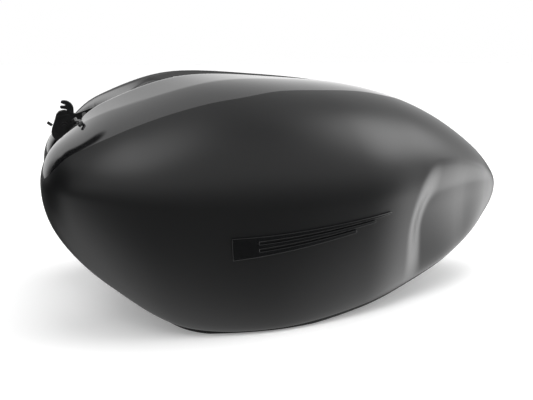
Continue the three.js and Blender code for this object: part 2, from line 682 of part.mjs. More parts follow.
// Both turn about the Y axis.
const lathed = (profile) => new THREE.LatheGeometry(
  [...profile, profile[0]].map(([r, y]) => new THREE.Vector2(r, y)), 14,
);
const bush = () => {
  const end = BUSH.half + BUSH.lip;
  return lathed([
    [BUSH.bore, -end], [BUSH.flange, -end], [BUSH.flange, -BUSH.half], [BUSH.outer, -BUSH.half],
    [BUSH.outer, BUSH.half], [BUSH.flange, BUSH.half], [BUSH.flange, end], [BUSH.bore, end],
  ]);
};
const sleeve = () => lathed([
  [SLEEVE.bore, -SLEEVE.half], [SLEEVE.outer, -SLEEVE.half],
  [SLEEVE.outer, SLEEVE.half], [SLEEVE.bore, SLEEVE.half],
]);

const atFront = (geometry) => geometry.translate(FRONT_MOUNT.x, FRONT_MOUNT.y, FRONT_MOUNT.z);
const frontMount = cut(
  atFront(join(block(-16, 16, -1.5, 1.5, -14, 19.4), block(-16, 16, -16, 1.5, 17, 19.4))),
  atFront(rodAlongY(BUSH.ear, -14, 16, 0, 0, 24)),
);
for (const [side, turn] of [['right', (g) => g], ['left', mirrored]]) {
  add(`front_mount_${side}`, turn(frontMount), primer);
  add(`front_bush_${side}`, turn(atFront(bush())), rubber);
  add(`front_sleeve_${side}`, turn(atFront(sleeve())), zincSteel);
}

const atRear = (geometry) => geometry.translate(REAR_MOUNT.x, 0, REAR_MOUNT.z);
add('rear_mount', atRear(cut(
  sidePlate([[-36, 19.1], [-14, 19.1], [-14, 1.5], [14, 1.5], [14, -1.5], [-17, -1.5], [-17, 16.1],
    [-36, 16.1]], -20, 20),
  rod(BUSH.ear, -9, 11, 0, 0, 24),
)), primer);
add('rear_bush', atRear(bush().rotateX(Math.PI / 2)), rubber);
add('rear_sleeve', atRear(sleeve().rotateX(Math.PI / 2)), zincSteel);

// ---- cable and hose guide at the front of the channel ----

add('guide_strap', cut(
  join(
    sidePlate([[-259, 240.3], [-259, 227], [-249, 231], [-236, 240], [-216, 231], [-209.5, 240],
      [-213, 246], [-234, 249]], -1.5, 1.5),
    guideTurn(block(-10, 9, -GUIDE.halfWidth, GUIDE.halfWidth, 0.8, 3)),
  ),
  rodAlongY(3, -5, 5, -246, 239.8, 16),
  ...GUIDE.screws.map((y) => guideTurn(rod(2.4, -5, 10, 0, y, 12))),
), blackPlastic);
GUIDE.screws.forEach((y, k) => {
  add(`guide_screw_${k + 1}`, guideTurn(join(
    rod(1.9, -5, 5, 0, y, 10), rod(3.4, 3 + FIT, 5.4, 0, y, 14),
  )), zincSteel);
});

// The strap's tongue sits in a slot of the block.
add('guide_block', cut(
  sidePlate([[-286.2, 213], [-276.6, 203.4], [-262, 212], [-258, 222], [-257, 241], [-259.8, 242.2],
    [-269, 246], [-279.2, 243.6], [-283.2, 231], [-287, 220]], -7, 7),
  block(-259.3, -250, -1.8, 1.8, 220, 250),
), blackPlastic);

// A claw of two fingers on top of the block.
add('guide_hook', sidePlate([
  [-259.2, 242.8], [-259.6, 250.2], [-262, 254], [-265, 256.5], [-269, 258], [-272.6, 257.6],
  [-274, 255.2], [-271, 254.2], [-268.4, 252.9], [-269.6, 251], [-275.3, 251.2], [-274.8, 248.4],
  [-270, 248], [-266.2, 247.4], [-265.4, 245.3],
], -5, 5), blackPlastic);
add('guide_pin', rod(1.9, 0, 7, 0, 0, 12).rotateY(-0.93).translate(-286, 0, 226.8), blackPlastic);

// Hook from the block over the left lip of the channel, lying on the shoulder.
const CLIP = { wire: 2, lift: 2.9 };
add('guide_clip', pipe([
  [-262, -9.4, 232], [-260, -40, 236], [-258, -62, 240],
  ...[[3.22, 0.07], [3.3, 0.14], [3.31, 0.19], [3.24, 0.22]]
    .map(([station, height]) => skin(station, height, CLIP.lift).toArray()),
], CLIP.wire, 0, 16), blackPlastic);

export default group;
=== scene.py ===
"""Looks of the motorcycle fuel tank: painted skins, cap, guide, pump plate and mounts in a pale studio."""

import json
import math
from contextlib import contextmanager

import bmesh
import bpy
import numpy as np
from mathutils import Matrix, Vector


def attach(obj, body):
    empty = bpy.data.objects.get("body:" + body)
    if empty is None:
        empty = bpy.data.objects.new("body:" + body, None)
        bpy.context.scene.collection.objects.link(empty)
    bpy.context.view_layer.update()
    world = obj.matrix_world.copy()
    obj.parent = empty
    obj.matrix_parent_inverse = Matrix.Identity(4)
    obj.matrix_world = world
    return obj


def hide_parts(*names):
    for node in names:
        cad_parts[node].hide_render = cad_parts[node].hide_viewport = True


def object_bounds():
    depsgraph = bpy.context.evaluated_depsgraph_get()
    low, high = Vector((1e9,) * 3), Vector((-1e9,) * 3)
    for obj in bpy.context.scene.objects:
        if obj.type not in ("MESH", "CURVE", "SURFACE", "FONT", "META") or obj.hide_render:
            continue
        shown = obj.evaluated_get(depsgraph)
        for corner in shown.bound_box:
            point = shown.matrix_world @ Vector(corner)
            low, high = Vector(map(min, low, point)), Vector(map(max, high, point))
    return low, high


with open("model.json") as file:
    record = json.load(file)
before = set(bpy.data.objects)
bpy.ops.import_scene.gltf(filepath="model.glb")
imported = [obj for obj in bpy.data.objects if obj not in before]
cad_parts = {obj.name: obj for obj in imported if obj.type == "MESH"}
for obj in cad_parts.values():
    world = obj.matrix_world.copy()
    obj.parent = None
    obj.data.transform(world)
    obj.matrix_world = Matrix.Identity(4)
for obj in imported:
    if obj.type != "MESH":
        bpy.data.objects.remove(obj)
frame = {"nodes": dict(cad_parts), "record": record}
cad_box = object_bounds()

NODES = frame["nodes"]
BODY_OF = {n: b for b, members in frame["record"]["behaviour"]["bodies"].items() for n in members}
SLOT_OF = {p["node"]: p["material_slot"] for p in frame["record"]["subparts"]}
MM = 0.001

# ---- the skin surface, in millimetres on the tank's own datum ----

MIDDLE = 19.8  # the frame's origin lies this far behind the datum
SHEET = 1.2

LIP = np.array([
    (-230, -46, 211), (-258, -56, 213), (-271, -61, 218), (-261, -66, 232), (-222, -70, 261),
    (-131, -73, 290), (-12, -58, 287), (100, -28, 273), (201, 0, 241), (286, 0, 189), (330, 0, 144),
], float)
WAIST = np.array([
    (-240, -44, 172), (-289, -57, 171), (-300, -107, 166), (-265, -155, 161), (-182, -192, 152),
    (-56, -202, 143), (72, -180, 142), (165, -140, 143), (236, -103, 143), (300, -58, 136),
    (341, 0, 123),
], float)
RIM = np.array([
    (-230, -46, 104), (-254, -74, 100), (-247, -113, 86), (-208, -146, 49), (-145, -177, 10),
    (-42, -190, 4), (73, -162, 13), (162, -128, 33), (230, -97, 55), (287, -56, 81), (315, 0, 91),
], float)
TAIL = 10  # last station
NOSE_LIP = 2  # station where the lip turns back at the nose
RECESS_X = -230  # face of the steering head recess
CAP_FRONT = -145  # from here on the channel floor is level
CHANNEL_FLOOR = 278
CHANNEL_HALF = 46
PANEL_START = 3.8  # station where the lip passes the recess
PANEL_END = 8

# Lower limit of the gloss paint: (station, height on the section).
PAINT_LINE = [
    (1.5, 1.98), (1.62, 1.72), (1.8, 1.32), (1.95, 1.07), (2.08, 0.92), (2.42, 0.77), (2.92, 0.565),
    (3.25, 0.51), (3.71, 0.46), (4.25, 0.41), (4.75, 0.385), (5.12, 0.37), (5.62, 0.31),
    (6.17, 0.28), (6.67, 0.256), (7.21, 0.23), (7.7, 0.13), (8.0, 0.02),
]
# Second crease of the shoulder; between it and the lip the skin is flat.
CREASE = [
    (2.4, 0.04), (3.0, 0.11), (3.38, 0.154), (4.17, 0.205), (4.79, 0.205), (5.21, 0.18),
    (5.54, 0.154), (6.2, 0.1), (6.8, 0.06),
]


def clamp(v):
    return np.clip(v, 0.0, 1.0)


def ease(v):
    v = clamp(v)
    return v * v * (3 - 2 * v)


def mix(a, b, k):
    return a + (b - a) * k


def curve(points, at):
    """A smooth line through (x, y) points, level beyond both ends."""
    x, y = np.array(points, float).T
    slope = np.gradient(y, x)
    i = np.clip(np.searchsorted(x, at) - 1, 0, len(x) - 2)
    h = x[i + 1] - x[i]
    u = clamp((at - x[i]) / h)
    return (y[i] * (1 + 2 * u) * (1 - u) ** 2 + slope[i] * h * u * (1 - u) ** 2
            + y[i + 1] * u * u * (3 - 2 * u) + slope[i + 1] * h * u * u * (u - 1))


def rail(points, s):
    """Catmull-Rom rail; past the tail it goes on as its own mirror image."""
    s = np.asarray(s, float)
    last = len(points) - 1
    path = np.vstack([2 * points[0] - points[1], points, points[last - 1] * (1, -1, 1)])
    i = np.minimum(np.floor(s).astype(int), last - 1)
    u = (s - i)[..., None]
    p0, p1, p2, p3 = (path[i + k] for k in range(4))
    return 0.5 * (2 * p1 + (p2 - p0) * u + (2 * p0 - 5 * p1 + 4 * p2 - p3) * u ** 2
                  + (3 * p1 - p0 - 3 * p2 + p3) * u ** 3)


def loft(s, t):
    """Two quarter ellipses a station: t = 0 at the lip, 1 at the waist, 2 at the rim."""
    s, t = np.broadcast_arrays(np.asarray(s, float), np.asarray(t, float))
    waist = rail(WAIST, s)
    upper = t < 1
    end = np.where(upper[..., None], rail(LIP, s), rail(RIM, s))
    angle = np.where(upper, t, t - 1) * math.pi / 2
    out = np.where(upper, 1 - np.sin(angle), 1 - np.cos(angle))
    high = np.where(upper, np.cos(angle), np.sin(angle))
    share = np.stack([out, out, high], -1)
    return mix(waist, end, share)


def creased(s, t):
    """The loft with the flat strip between the lip and the shoulder's second crease."""
    s, t = np.broadcast_arrays(np.asarray(s, float), np.asarray(t, float))
    crease = curve(CREASE, s)
    top = loft(s, np.zeros_like(s))
    flat = mix(top, loft(s, crease), clamp(t / crease)[..., None])
    weight = ease((s - CREASE[0][0]) / 0.6) * ease((CREASE[-1][0] - s) / 0.9) * (t < crease)
    return mix(loft(s, t), flat, weight[..., None])


STEP = 0.004


def unit(v):
    return v / np.linalg.norm(v, axis=-1, keepdims=True)


def outward(s, t):
    along = loft(np.minimum(TAIL, s + STEP), t) - loft(np.maximum(0, s - STEP), t)
    down = loft(s, np.minimum(2, t + STEP)) - loft(s, np.maximum(0, t - STEP))
    return unit(np.cross(down, along))


# Front edge, top edge at station "level" with its slope, radius of the corner between them (mm),
# width of the step down (mm) and depth (mm).
KNEE = {
    "station": 6.63, "top": 0.77, "level": 7.7, "slope": -0.035, "radius": 74, "step": 36, "depth": 10,
}
STATION_MM, HEIGHT_MM = 90, 140  # one station and one unit of height in the recess


def knee_depth(s, t):
    in_x = (s - KNEE["station"]) * STATION_MM
    in_z = (t - KNEE["top"] - KNEE["slope"] * (s - KNEE["level"])) * HEIGHT_MM
    corner = np.hypot(np.maximum(0, KNEE["radius"] - in_x), np.maximum(0, KNEE["radius"] - in_z))
    fade = ease((9.6 - s) / 1.4) * ease((1.95 - t) / 0.8)
    return KNEE["depth"] * ease((KNEE["radius"] - corner) / KNEE["step"]) * fade


def skin(s, t, lift=0.0):
    s, t = np.broadcast_arrays(np.asarray(s, float), np.asarray(t, float))
    return creased(s, t) + outward(s, t) * (lift - knee_depth(s, t))[..., None]


def inboard(points, s, distance):
    """Points beside a rail, towards the middle of the tank."""
    s = np.asarray(s, float)
    reach = 5 * STEP
    along = rail(points, np.minimum(TAIL, s + reach)) - rail(points, np.maximum(0, s - reach))
    aside = np.stack([-along[..., 1], along[..., 0], np.zeros_like(s)], -1)
    return rail(points, s) + unit(aside) * np.asarray(distance, float)[..., None]


# ---- mesh helpers ----

MIRROR = np.array((1, -1, 1))
WELD = 0.00002  # metres


def in_row(points):
    return (np.asarray(points, float) - (MIDDLE, 0, 0)) * MM


def linked(name, data):
    """A new object in the scene."""
    thing = bpy.data.objects.new(name, data)
    bpy.context.scene.collection.objects.link(thing)
    return thing


def piece_for(node, name, mesh, *materials):
    """The visible piece that stands for a CAD node, in its slot's material unless others are given."""
    piece = linked(name, mesh)
    for material in materials or [MATERIALS[SLOT_OF[node]]]:
        mesh.materials.append(material)
    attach(piece, BODY_OF[node])
    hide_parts(node)
    return piece


def grid_faces(columns, rows, keep=None):
    """Quads of a grid of columns x rows points, with their (column, row)."""
    i, j = np.meshgrid(np.arange(columns - 1), np.arange(rows - 1), indexing="ij")
    i, j = i.ravel(), j.ravel()
    if keep is not None:
        held = keep(i, j)
        i, j = i[held], j[held]
    a = i * rows + j
    return np.stack([a, a + rows, a + rows + 1, a + 1], -1), i, j


def mesh_from(name, points, faces, flip=False):
    mesh = bpy.data.meshes.new(name)
    faces = np.asarray(faces)[:, ::-1] if flip else np.asarray(faces)
    mesh.from_pydata(in_row(points).tolist(), [], faces.tolist())
    mesh.validate()
    mesh.shade_smooth()
    return mesh


@contextmanager
def editing(mesh):
    """The mesh as a bmesh, written back when the block ends."""
    bm = bmesh.new()
    bm.from_mesh(mesh)
    yield bm
    bm.to_mesh(mesh)
    bm.free()


def weld(mesh):
    with editing(mesh) as bm:
        bmesh.ops.remove_doubles(bm, verts=bm.verts, dist=WELD)
        bmesh.ops.dissolve_degenerate(bm, edges=bm.edges, dist=WELD / 2)


def face_outwards(mesh):
    with editing(mesh) as bm:
        bmesh.ops.recalc_face_normals(bm, faces=bm.faces)


def thicken(piece):
    solid = piece.modifiers.new("sheet", "SOLIDIFY")
    solid.thickness = SHEET * MM
    solid.offset = -1
    solid.use_even_offset = False
    return piece


# ---- closed shapes, cuts and rounded edges ----


def cylinder(radius, z0, z1, x=0.0, y=0.0, sides=96):
    """A closed upright cylinder, in millimetres on the datum."""
    mesh = bpy.data.meshes.new("cylinder")
    with editing(mesh) as bm:
        bmesh.ops.create_cone(bm, cap_ends=True, segments=sides, radius1=radius * MM,
                              radius2=radius * MM, depth=(z1 - z0) * MM)
        bmesh.ops.translate(bm, verts=bm.verts, vec=in_row((x, y, (z0 + z1) / 2)))
    return mesh


def prism(outline, y0, y1):
    """A mesh between y0 and y1 from an outline of (x, z) pairs."""
    count = len(outline)
    points = [(x, y, z) for y in (y0, y1) for x, z in outline]
    walls = [(k, (k + 1) % count, (k + 1) % count + count, k + count) for k in range(count)]
    mesh = bpy.data.meshes.new("prism")
    mesh.from_pydata(in_row(points).tolist(), [],
                     [tuple(range(count))[::-1], tuple(range(count, 2 * count)), *walls])
    face_outwards(mesh)
    return mesh


def softened(outline):
    """Cuts the corners of a closed outline, so that it turns smoothly."""
    points, after = np.array(outline, float), np.roll(outline, -1, 0)
    return np.stack([0.78 * points + 0.22 * after, 0.22 * points + 0.78 * after], 1).reshape(-1, 2)


def disc(radius, x, z, sides=40):
    angles = np.linspace(0, 2 * math.pi, sides, endpoint=False)
    return [(x + radius * math.cos(a), z + radius * math.sin(a)) for a in angles]


def turned(profile, x, sides=144):
    """A closed outline of (radius, z) pairs turned about an upright axis."""
    radius, z = np.array(profile, float).T
    angles = np.linspace(0, 2 * math.pi, sides, endpoint=False)[:, None]
    points = np.stack([x + radius * np.cos(angles), radius * np.sin(angles), z + 0 * angles], -1)
    count = len(profile)
    at = np.arange(sides * count).reshape(sides, count)
    beside, below = np.roll(at, -1, 0), np.roll(at, -1, 1)
    faces = np.stack([at, beside, np.roll(beside, -1, 1), below], -1).reshape(-1, 4)
    mesh = mesh_from("turned", points.reshape(-1, 3), faces)
    weld(mesh)
    face_outwards(mesh)
    return mesh


def upright(x0, x1, half, z0, z1):
    """A box across the middle of the tank."""
    return prism([(x0, z0), (x1, z0), (x1, z1), (x0, z1)], -half, half)


def baked(piece):
    """Applies every modifier of the piece to its mesh."""
    bpy.context.view_layer.update()
    evaluated = piece.evaluated_get(bpy.context.evaluated_depsgraph_get())
    result = bpy.data.meshes.new_from_object(evaluated)
    piece.modifiers.clear()
    piece.data = result
    return piece


def carve(piece, *cutters, operation="DIFFERENCE"):
    """Takes the cutters' meshes out of the piece, or joins them to it."""
    made = [linked("cutter", mesh) for mesh in cutters]
    for cutter in made:
        cut = piece.modifiers.new("cut", "BOOLEAN")
        cut.operation = operation
        cut.solver = "EXACT"
        cut.object = cutter
    baked(piece)
    for cutter in made:
        bpy.data.objects.remove(cutter)
    return piece


def sharpen(mesh, degrees):
    mesh.shade_smooth()
    mesh.set_sharp_from_angle(angle=math.radians(degrees))


def rounded(piece, round_mm, degrees):
    """Rounds the edges sharper than the angle; flat faces keep their own shading."""
    sharpen(piece.data, degrees)
    bevel = piece.modifiers.new("rounded", "BEVEL")
    bevel.width = round_mm * MM
    bevel.segments = 2
    bevel.limit_method = "ANGLE"
    bevel.angle_limit = math.radians(degrees)
    bevel.use_clamp_overlap = True
    piece.modifiers.new("flat faces", "WEIGHTED_NORMAL").keep_sharp = True
    return baked(piece)


def closed_sheet(outer, inner, keep=None):
    """Points and faces of a sheet between two grids of points, walled all round."""
    columns, rows = outer.shape[:2]
    count = columns * rows
    faces, i, j = grid_faces(columns, rows, keep)
    held = set(zip(i.tolist(), j.tolist()))
    walls = []
    for (a, b, c, d), column, row in zip(faces.tolist(), i.tolist(), j.tolist()):
        for p, q, beside in ((a, b, (column, row - 1)), (b, c, (column + 1, row)),
                             (c, d, (column, row + 1)), (d, a, (column - 1, row))):
            if beside not in held:
                walls.append((q, p, p + count, q + count))
    points = np.concatenate([outer.reshape(-1, 3), inner.reshape(-1, 3)])
    return points, np.concatenate([faces, faces[:, ::-1] + count, walls])


# ---- node helpers ----


class Nodes:
    """Short names for building one material's nodes."""

    def __init__(self, name, colour, roughness, metallic=0.0):
        self.material = bpy.data.materials.new(name)
        self.material.use_nodes = True
        self.tree = self.material.node_tree
        self.shader = self.tree.nodes["Principled BSDF"]
        self.shader.inputs["Base Color"].default_value = (*colour, 1)
        self.shader.inputs["Roughness"].default_value = roughness
        self.shader.inputs["Metallic"].default_value = metallic
        self.place = self.tree.nodes.new("ShaderNodeTexCoord").outputs["Object"]

    def link(self, source, target):
        self.tree.links.new(source, target)

    def noise(self, scale, detail, stretch=None):
        node = self.tree.nodes.new("ShaderNodeTexNoise")
        node.inputs["Scale"].default_value = scale
        node.inputs["Detail"].default_value = detail
        place = self.place
        if stretch:
            mapping = self.tree.nodes.new("ShaderNodeMapping")
            mapping.inputs["Scale"].default_value = stretch
            self.link(place, mapping.inputs["Vector"])
            place = mapping.outputs["Vector"]
        self.link(place, node.inputs["Vector"])
        return node.outputs["Fac"]

    def span(self, value, low, high, to_low, to_high):
        node = self.tree.nodes.new("ShaderNodeMapRange")
        for key, number in (("From Min", low), ("From Max", high), ("To Min", to_low), ("To Max", to_high)):
            node.inputs[key].default_value = number
        self.link(value, node.inputs["Value"])
        return node.outputs["Result"]

    def times(self, a, b):
        node = self.tree.nodes.new("ShaderNodeMath")
        node.operation = "MULTIPLY"
        self.link(a, node.inputs[0])
        self.link(b, node.inputs[1])
        return node.outputs[0]

    def tint(self, factor, first, second):
        node = self.tree.nodes.new("ShaderNodeMix")
        node.data_type = "RGBA"
        node.inputs["A"].default_value = (*first, 1)
        node.inputs["B"].default_value = (*second, 1)
        self.link(factor, node.inputs["Factor"])
        self.link(node.outputs["Result"], self.shader.inputs["Base Color"])

    def roughness(self, value):
        self.link(value, self.shader.inputs["Roughness"])

    def bump(self, *layers):
        """Layers of (height, strength, depth in metres), the coarsest first."""
        normal = None
        for height, strength, depth in layers:
            node = self.tree.nodes.new("ShaderNodeBump")
            node.inputs["Strength"].default_value = strength
            node.inputs["Distance"].default_value = depth
            self.link(height, node.inputs["Height"])
            if normal:
                self.link(normal, node.inputs["Normal"])
            normal = node.outputs["Normal"]
        self.link(normal, self.shader.inputs["Normal"])

    def up(self, low, high):
        """1 on surfaces that face up, 0 on the others."""
        node = self.tree.nodes.new("ShaderNodeNewGeometry")
        split = self.tree.nodes.new("ShaderNodeSeparateXYZ")
        self.link(node.outputs["Normal"], split.inputs[0])
        return self.span(split.outputs["Z"], low, high, 0, 1)


# ---- materials ----


def satin_paint(name, colour=(0.005, 0.0052, 0.0055), roughness=0.32):
    """Matt-lacquered black: a fine silky grain, slight cloudiness and a little dust on top."""
    n = Nodes(name, colour, roughness)
    cloud = n.noise(9, 4)
    n.roughness(n.span(cloud, 0.3, 0.7, roughness - 0.015, roughness + 0.02))
    dust = n.times(n.span(n.noise(2600, 1), 0.7, 0.78, 0, 0.5), n.up(0.55, 0.95))
    n.tint(dust, colour, (0.16, 0.16, 0.155))
    n.bump((n.noise(210, 2), 0.05, 0.0004), (n.noise(5200, 2), 0.12, 0.00004))
    return n.material


def gloss_paint(name, colour=(0.0045, 0.0045, 0.005)):
    """Clear-coated black with faint orange peel."""
    n = Nodes(name, colour, 0.16)
    n.roughness(n.span(n.noise(14, 3), 0.3, 0.7, 0.12, 0.2))
    n.bump((n.noise(260, 2), 0.03, 0.0003))
    n.shader.inputs["Coat Weight"].default_value = 1.0
    n.shader.inputs["Coat Roughness"].default_value = 0.035
    n.shader.inputs["Coat IOR"].default_value = 1.75
    return n.material


def primer(name, colour=(0.03, 0.031, 0.033)):
    """Thin under-body paint over the pressed sheet."""
    n = Nodes(name, colour, 0.5)
    n.roughness(n.span(n.noise(24, 5), 0.3, 0.7, 0.42, 0.6))
    n.tint(n.span(n.noise(40, 5), 0.35, 0.65, 0, 1), colour, (0.045, 0.046, 0.048))
    n.bump((n.noise(320, 3), 0.2, 0.0002), (n.noise(2400, 2), 0.25, 0.00005))
    return n.material


def cast_alloy(name, colour=(0.46, 0.47, 0.48), grain=1400):
    n = Nodes(name, colour, 0.42, 1.0)
    n.roughness(n.span(n.noise(60, 5), 0.3, 0.7, 0.34, 0.52))
    n.tint(n.span(n.noise(90, 5), 0.35, 0.65, 0, 1), colour, tuple(c * 0.78 for c in colour))
    n.bump((n.noise(grain, 3), 0.35, 0.0001))
    return n.material


def zinc_plate(name, colour=(0.6, 0.605, 0.57)):
    n = Nodes(name, colour, 0.28, 1.0)
    n.roughness(n.span(n.noise(300, 4), 0.3, 0.7, 0.2, 0.36))
    n.tint(n.span(n.noise(120, 3), 0.4, 0.62, 0, 1), colour, (0.5, 0.52, 0.55))
    n.bump((n.noise(1800, 2, stretch=(1, 1, 6)), 0.12, 0.00005))
    return n.material


def moulding(name, colour, roughness=0.42, grain=1500, depth=0.00008):
    """Injection-moulded plastic or rubber with a spark-eroded grain."""
    n = Nodes(name, colour, roughness)
    n.roughness(n.span(n.noise(70, 4), 0.3, 0.7, roughness - 0.06, roughness + 0.08))
    n.tint(n.span(n.noise(180, 4), 0.4, 0.7, 0, 1), colour, tuple(min(1, c * 1.5 + 0.004) for c in colour))
    n.bump((n.noise(grain, 3), 0.3, depth))
    return n.material


FLOOR_GLOW = 0.2


def floor_material():
    n = Nodes("studio_floor", (0.9, 0.9, 0.9), 0.7)
    n.tint(n.span(n.noise(3, 3), 0.3, 0.7, 0, 1), (0.9, 0.9, 0.9), (0.885, 0.885, 0.885))
    n.shader.inputs["Emission Color"].default_value = (1, 1, 1, 1)
    n.shader.inputs["Emission Strength"].default_value = FLOOR_GLOW
    return n.material


MATERIALS = {
    "satin_black": satin_paint("satin_black_paint"),
    "gloss_black": gloss_paint("gloss_black_paint"),
    "primer": primer("underbody_paint"),
    "cast_alloy": cast_alloy("cast_alloy_plate"),
    "dark_alloy": cast_alloy("dark_anodised_alloy", (0.05, 0.05, 0.054), 2200),
    "zinc_steel": zinc_plate("zinc_plated_steel"),
    "rubber": moulding("black_rubber", (0.011, 0.011, 0.011), 0.6, 900, 0.00012),
    "black_plastic": moulding("black_moulding", (0.014, 0.0145, 0.015), 0.38),
    "pale_plastic": moulding("pale_moulding", (0.66, 0.64, 0.55), 0.45),
}


# ---- painted side skins ----


def side_stations():
    return np.concatenate([
        np.linspace(0, 3, 76), np.linspace(3, 6.4, 80)[1:], np.linspace(6.4, 9.6, 110)[1:],
        np.linspace(9.6, TAIL, 14)[1:],
    ])


LIP_ROLL = 1.6  # radius of the rolled edge where side and channel meet
LEAST_ROW = 0.006  # least height of a row of faces
ROLL_ROWS, FLAT_ROWS, SHOULDER_ROWS, LOWER_ROWS = 5, 8, 22, 92


def lip_share(s):
    """1 along the lip, fading to 0 where the channel ends."""
    return ease((PANEL_END - s) / 0.5)


def lip_edge(s):
    """Where the rolled edge of the lip meets the channel."""
    return inboard(LIP, s, LIP_ROLL * lip_share(s))


def side_rows(s):
    """Heights of the rows at station s: lip, crease, paint line and rim each keep a row."""
    start = 0.012 * lip_share(s)
    paint = curve(PAINT_LINE, s)
    crease = np.clip(curve(CREASE, s), start + LEAST_ROW, np.maximum(0.5 * paint, start + LEAST_ROW))
    paint = np.maximum(paint, crease + LEAST_ROW)
    flat = mix(start, crease, np.linspace(0, 1, FLAT_ROWS + 1)[:-1])
    shoulder = mix(crease, paint, np.linspace(0, 1, SHOULDER_ROWS + 1)[:-1])
    lower = mix(paint, 2, np.linspace(0, 1, LOWER_ROWS))
    return np.concatenate([flat, shoulder, lower])


def side_skin(name, node, flip):
    stations = side_stations()
    heights = np.array([side_rows(s) for s in stations])
    surface = skin(stations[:, None], heights)
    lip = rail(LIP, stations)
    inner = lip_edge(stations)
    u = np.linspace(0, 1, ROLL_ROWS + 1)[:-1][None, :, None]
    roll = (1 - u) ** 2 * inner[:, None] + 2 * u * (1 - u) * lip[:, None] + u ** 2 * surface[:, :1]
    points = np.concatenate([roll, surface], 1)
    points[..., 1] = np.minimum(points[..., 1], 0)
    faces, i, j = grid_faces(*points.shape[:2])
    middle = (stations[i] + stations[i + 1]) / 2
    above = j < ROLL_ROWS + FLAT_ROWS + SHOULDER_ROWS
    gloss = (above & (middle < PAINT_LINE[-1][0])) | (middle < PAINT_LINE[0][0])
    if flip:
        points = points * MIRROR
    mesh = mesh_from(name, points.reshape(-1, 3), faces, flip=not flip)
    mesh.polygons.foreach_set("material_index", gloss.astype(np.int32))
    weld(mesh)
    mesh.shade_smooth()
    thicken(piece_for(node, name, mesh, MATERIALS["satin_black"], MATERIALS["gloss_black"]))


side_skin("left_side_skin", "left_side_shell", False)
side_skin("right_side_skin", "right_side_shell", True)


# ---- channel between the lips ----

CAP_X = -78
CAP_HOLE = 46


def to_middle(edge, columns):
    """Rows of points from a line beside the middle of the tank to the middle itself."""
    centre = np.repeat(edge[:, None], columns, 1)
    centre[..., 1] *= 1 - np.linspace(0, 1, columns + 1)[1:]
    return centre


def channel_skin():
    """One half of the channel: in front of the recess only the slope, behind it the floor as well."""
    slope_rows = 22
    nose = np.linspace(0, 1, 28)[:-1]
    body_s = np.concatenate([
        np.linspace(PANEL_START, 7.6, 120), np.linspace(7.6, PANEL_END, 12)[1:],
    ])
    lip = lip_edge(body_s)
    lip[:, 1] = np.minimum(lip[:, 1], 0)
    rise = clamp((lip[:, 0] - RECESS_X) / (CAP_FRONT - RECESS_X))
    floor = mix(LIP[0][2], CHANNEL_FLOOR, np.sin(rise * math.pi / 2))
    half = mix(CHANNEL_HALF, -lip[:, 1] * 0.9, ease(rise))
    edge = np.stack([lip[:, 0], -half, np.minimum(lip[:, 2], floor)], -1)
    # The first whole row lies on the face of the recess.
    edge[0] = (RECESS_X, -CHANNEL_HALF, LIP[0][2])
    outer = np.concatenate([lip_edge(mix(NOSE_LIP, PANEL_START, nose)), lip])
    inner = np.concatenate([lip_edge(mix(NOSE_LIP, 0.0, nose)), edge])
    share = np.linspace(0, 1, slope_rows + 1)
    along = np.stack([share, share, ease(share)], -1)
    side = mix(outer[:, None], inner[:, None], along)
    points = np.concatenate([side, to_middle(inner, 10)], 1)
    faces, _, _ = grid_faces(*points.shape[:2], lambda i, j: (i >= len(nose)) | (j < slope_rows))
    return points.reshape(-1, 3), faces


def make_channel():
    points, faces = channel_skin()
    both = np.concatenate([points, points * MIRROR])
    quads = np.concatenate([faces, faces[:, ::-1] + len(points)])
    mesh = mesh_from("channel_skin", both, quads)
    weld(mesh)
    piece = baked(thicken(piece_for("centre_channel_panel", "channel_skin", mesh)))
    carve(piece, cylinder(CAP_HOLE, CHANNEL_FLOOR - 16, CHANNEL_FLOOR + 22, CAP_X))
    sharpen(piece.data, 40)


make_channel()


# ---- tunnel pan ----

TUNNEL_HALF, TUNNEL_ROOF, TUNNEL_TAIL, LOBE_FLOOR = 46, 104, 96, 24
PAN_NOSE, PAN_START = 1.3, 2.45  # stations where the rim turns back, and where it passes the recess
PUMP_X, PUMP_Y, PUMP_HOLE = -40, -128, 33
PUMP_BOLTS, BOLT_HOLE = 38.5, 2.8  # radius of the ring of bolts, and of each hole
VENT_X, VENT_Y, VENT_HOLE = -70, 125, 3.9
SEAM_GAP, PAN_NOSE_GAP = 0.35, 2  # from the rim to the pan, along the sides and at the nose
# Folds of one half, from the rim to the tunnel roof: share of the way on a plain slope, millimetres
# in from the rim, share of the way to the roof's edge, and shares of the floor's and roof's height.
PAN_FOLDS = np.array([
    (0.0, 0.35, 0.0, 0, 0.0), (0.15, 8, 0.0, 0, 0.0), (0.3, 16, 0.0, 1, 0.0),
    (0.7, 16, 0.78, 1, 0.0), (0.85, 16, 0.92, 1, 0.85), (1.0, 16, 1.0, 1, 1.0),
])


def pan_section(count=70, rounding=0.22):
    """The folds resampled, with every bend rounded."""
    at = np.linspace(0, len(PAN_FOLDS) - 1, count)
    reach = np.minimum(rounding, np.minimum(at, at[-1] - at))
    window = at[:, None] + reach[:, None] * np.linspace(-1, 1, 9)
    steps = np.arange(len(PAN_FOLDS))
    return np.stack([np.interp(window, steps, fold).mean(1) for fold in PAN_FOLDS.T])


